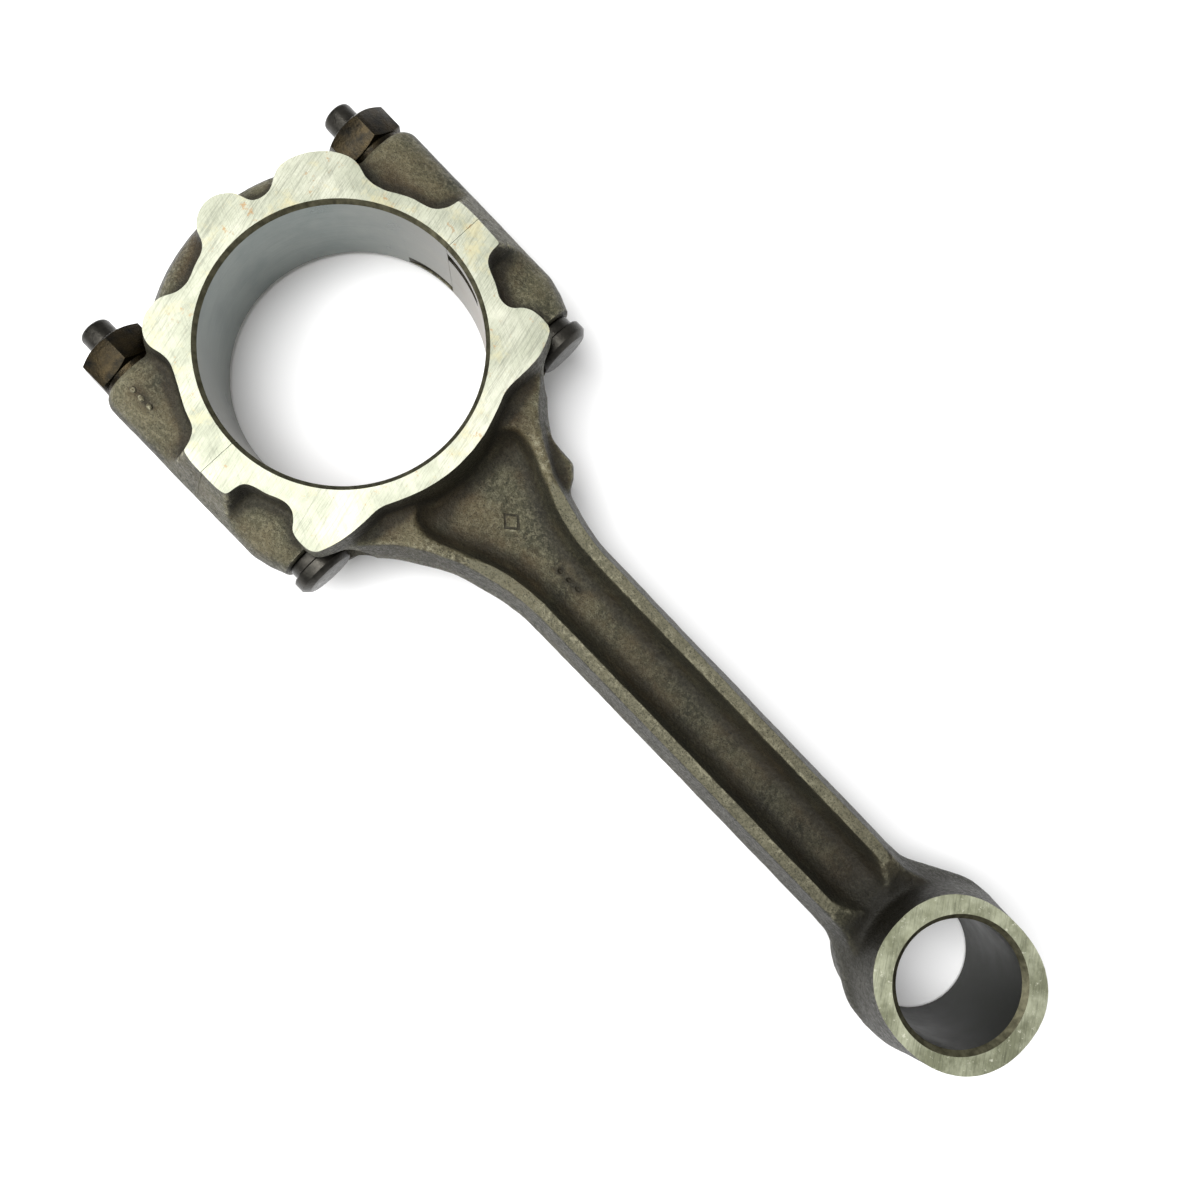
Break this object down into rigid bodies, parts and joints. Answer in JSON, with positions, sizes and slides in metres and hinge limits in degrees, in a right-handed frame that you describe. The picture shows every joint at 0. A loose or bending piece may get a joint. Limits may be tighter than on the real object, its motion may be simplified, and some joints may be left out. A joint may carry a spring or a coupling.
{
  "type": "connecting rod",
  "caption": "Forged connecting rod with an I-section beam, a pin eye, and a split big end whose bearing cap is held by fitted bolts and hexagon nuts.",
  "frame": {"origin": "on the surface that the rod lies on, under the middle of its bounding box", "axes": "+X along the rod from the crank bore to the pin bore, +Y across the rod, +Z along both bores' axes"},
  "size_m": [0.2022, 0.0724, 0.0265],
  "materials": {
    "forged_steel": "dark olive-brown forging scale, with the end faces and bores machined bright",
    "bolt_steel": "dark grey hardened steel, satin",
    "nut_steel": "black-brown oxide, satin"
  },
  "bodies": {
    "rod": {"rod_body": "forged_steel", "cap_bolt_left": "bolt_steel", "cap_bolt_right": "bolt_steel"},
    "cap": {"bearing_cap": "forged_steel"},
    "nut_left": {"cap_nut_left": "nut_steel"},
    "nut_right": {"cap_nut_right": "nut_steel"}
  },
  "joints": [
    {"name": "cap_slide", "type": "slide", "parent": "rod", "child": "cap", "axis": [-1, 0, 0], "range_m": [0, 0.007]},
    {"name": "nut_left_turn", "type": "hinge", "parent": "cap", "child": "nut_left", "pos_m": [-0.0881, 0.02875, 0.01325], "axis": [-1, 0, 0], "range_deg": [0, 2520]},
    {"name": "nut_right_turn", "type": "hinge", "parent": "cap", "child": "nut_right", "pos_m": [-0.0881, -0.02875, 0.01325], "axis": [-1, 0, 0], "range_deg": [0, 2520]}
  ],
  "couplings": [
    {"joint": "nut_left_turn", "follows": "cap_slide", "rad_per_m": 6283.2},
    {"joint": "nut_right_turn", "follows": "cap_slide", "rad_per_m": 6283.2}
  ]
}
